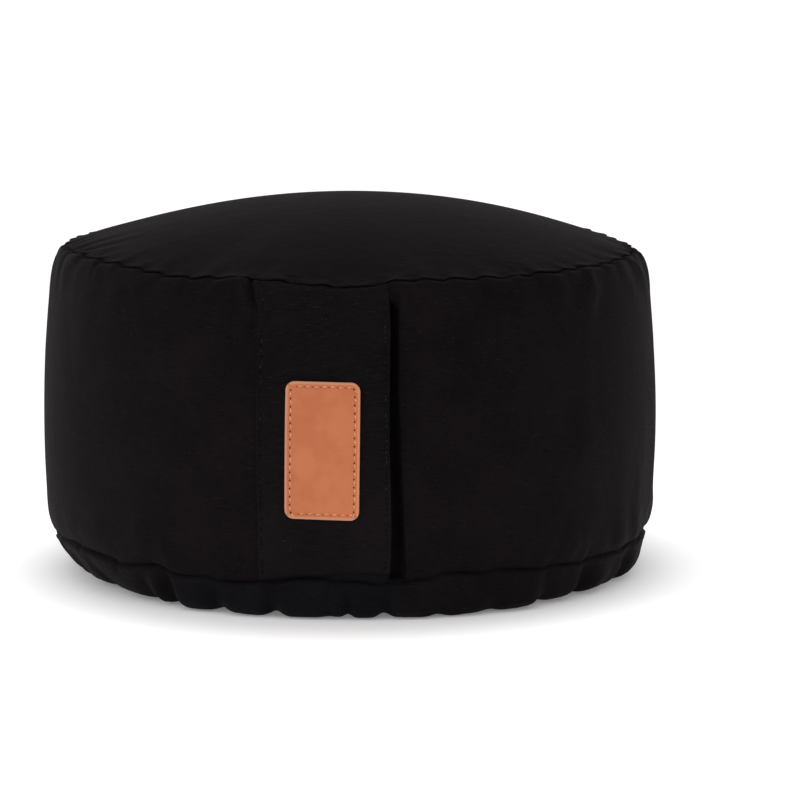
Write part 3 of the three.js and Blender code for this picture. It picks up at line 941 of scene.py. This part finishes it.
def label_leather():
    material, place, shader = new_finish("label_leather", {"Specular IOR Level": 0.22})
    inside = place.node("Attribute", {"attribute_name": "inside"}, output=2)
    grain = place.node("TexVoronoi", {"feature": "DISTANCE_TO_EDGE"}, {"Vector": place, "Scale": 1500.0})
    pores = place.noise(2400.0, 2.0, 0.5)
    cloudy = place.noise(60.0, 3.0, 0.6)
    right = place.axes()[0].between(0.009, 0.018)
    colour = cloudy.between(0.3, 0.7).blend((0.48, 0.138, 0.056, 1), (0.55, 0.168, 0.070, 1))
    colour = (right * 0.5).blend(colour, (0.58, 0.172, 0.058, 1))
    colour = (pores.between(0.62, 0.75) * 0.3).blend(colour, (0.32, 0.082, 0.035, 1))
    # A paler, pinker rim: partly the raw cut edge's own colour, partly a painted highlight where the rounded
    # edge catches light
    rim = 1 - inside.between(0.9, 1.5)
    colour = (rim * 0.75).blend(colour, (0.60, 0.27, 0.16, 1))
    pressed = 1 - (inside - LABEL_SEAM).math("ABSOLUTE").between(0.3, 0.9)
    colour = (pressed * 0.25).blend(colour, (0.34, 0.09, 0.038, 1))
    feed(shader, Base_Color=colour, Roughness=cloudy * 0.15 + rim * 0.12 + 0.46)
    feed(shader, Normal=relief(pores, 0.25, 0.0003, onto=relief(grain, 0.3, 0.0002)))
    return material


def label_thread():
    material, place, shader = new_finish("label_thread", {"Specular IOR Level": 0.3, "Roughness": 0.65})
    twist = place.noise(1800.0)
    colour = twist.between(0.35, 0.65).blend((0.66, 0.28, 0.12, 1), (0.90, 0.50, 0.26, 1))
    feed(shader, Base_Color=colour, Normal=relief(twist, 0.5, 0.0002))
    return material


def hole_shade_brown():
    # Near-black brown on flat beads: painted shade of the needle holes, which are not cut into the leather
    material, place, shader = new_finish("needle_hole_brown", {"Specular IOR Level": 0.1, "Roughness": 0.9})
    depth = place.noise(1500.0)
    feed(shader, Base_Color=depth.between(0.3, 0.7).blend((0.030, 0.007, 0.003, 1), (0.060, 0.016, 0.008, 1)))
    return material


def floor_white():
    """White paper with a faint glow, stronger beyond the cushion's own shadow."""
    material, place, shader = new_finish("floor_white", {"Specular IOR Level": 0.0, "Roughness": 1.0})
    shader.inputs["Emission Strength"].default_value = 1.0
    flat = place.stretched(1.25, 1, 0)
    away = flat.node("VectorMath", {"operation": "LENGTH"}, {0: flat}, output=1)
    paper = place.noise(3.0, 2.0, 0.5)
    glow = away.between(0.165, 0.235) * 0.35 - away.between(0.3, 0.45) * 0.2 + 0.15
    feed(shader, Base_Color=paper.blend((0.93, 0.93, 0.93, 1), (0.95, 0.95, 0.95, 1)), Emission_Color=glow)
    return material


# Studio, with lengths in metres
CAMERA_AZIMUTH, CAMERA_ELEVATION = 4.42, 8.6
CAMERA_AIM, CAMERA_DISTANCE = (0, 0, 0.0955), 3.1
CAMERA_SLIDE = (0.026, -0.0078, 0)  # sideways and up, in the picture's own directions
LENS, SENSOR = 268.3, 36  # millimetres
FLOOR_HALF = 12


def set_camera():
    azimuth, elevation = math.radians(CAMERA_AZIMUTH), math.radians(CAMERA_ELEVATION)
    level = math.cos(elevation)
    back = Vector((math.sin(azimuth) * level, -math.cos(azimuth) * level, math.sin(elevation)))
    turned = back.to_track_quat("Z", "Y")
    slide = turned @ Vector(CAMERA_SLIDE)
    camera = bpy.data.objects.new("camera", bpy.data.cameras.new("camera"))
    camera.data.lens = LENS
    camera.data.sensor_width = SENSOR
    camera.location = Vector(CAMERA_AIM) + back * CAMERA_DISTANCE + slide
    camera.rotation_euler = turned.to_euler()
    bpy.context.scene.collection.objects.link(camera)
    bpy.context.scene.camera = camera


def soft_light(name, place, aim, size, power):
    light = bpy.data.objects.new(name, bpy.data.lights.new(name, "AREA"))
    light.data.shape = "SQUARE"
    light.data.size = size
    light.data.energy = power
    light.location = place
    light.rotation_euler = (Vector(place) - Vector(aim)).to_track_quat("Z", "Y").to_euler()
    bpy.context.scene.collection.objects.link(light)


def set_studio():
    """Even white light, a little brighter from the left, the front and the back, and the floor."""
    world = bpy.data.worlds.new("studio")
    bpy.context.scene.world = world
    world.use_nodes = True
    tree = world.node_tree
    direction = Value(tree, tree.nodes.new("ShaderNodeTexCoord").outputs["Generated"])
    x, y, z = direction.axes()
    strength = x * -0.11 + y * -0.13 + y.math("MAXIMUM", 0.0) * 0.24 + 0.74
    tree.links.new(strength.socket, tree.nodes["Background"].inputs["Strength"])
    tree.nodes["Background"].inputs["Color"].default_value = (1, 1, 1, 1)
    soft_light("window", place=(-2.0, -1.0, 1.4), aim=(0, 0, 0.1), size=1.4, power=7)
    bm = bmesh.new()
    bmesh.ops.create_grid(bm, x_segments=1, y_segments=1, size=FLOOR_HALF)
    floor = new_piece("studio_floor", bm, floor_white())
    bpy.context.scene.view_settings.view_transform = "Standard"


set_camera()
set_studio()
cover = make_cover()
flap = make_flap()
flap_seams = make_flap_seams()
make_label()
make_label_seam()
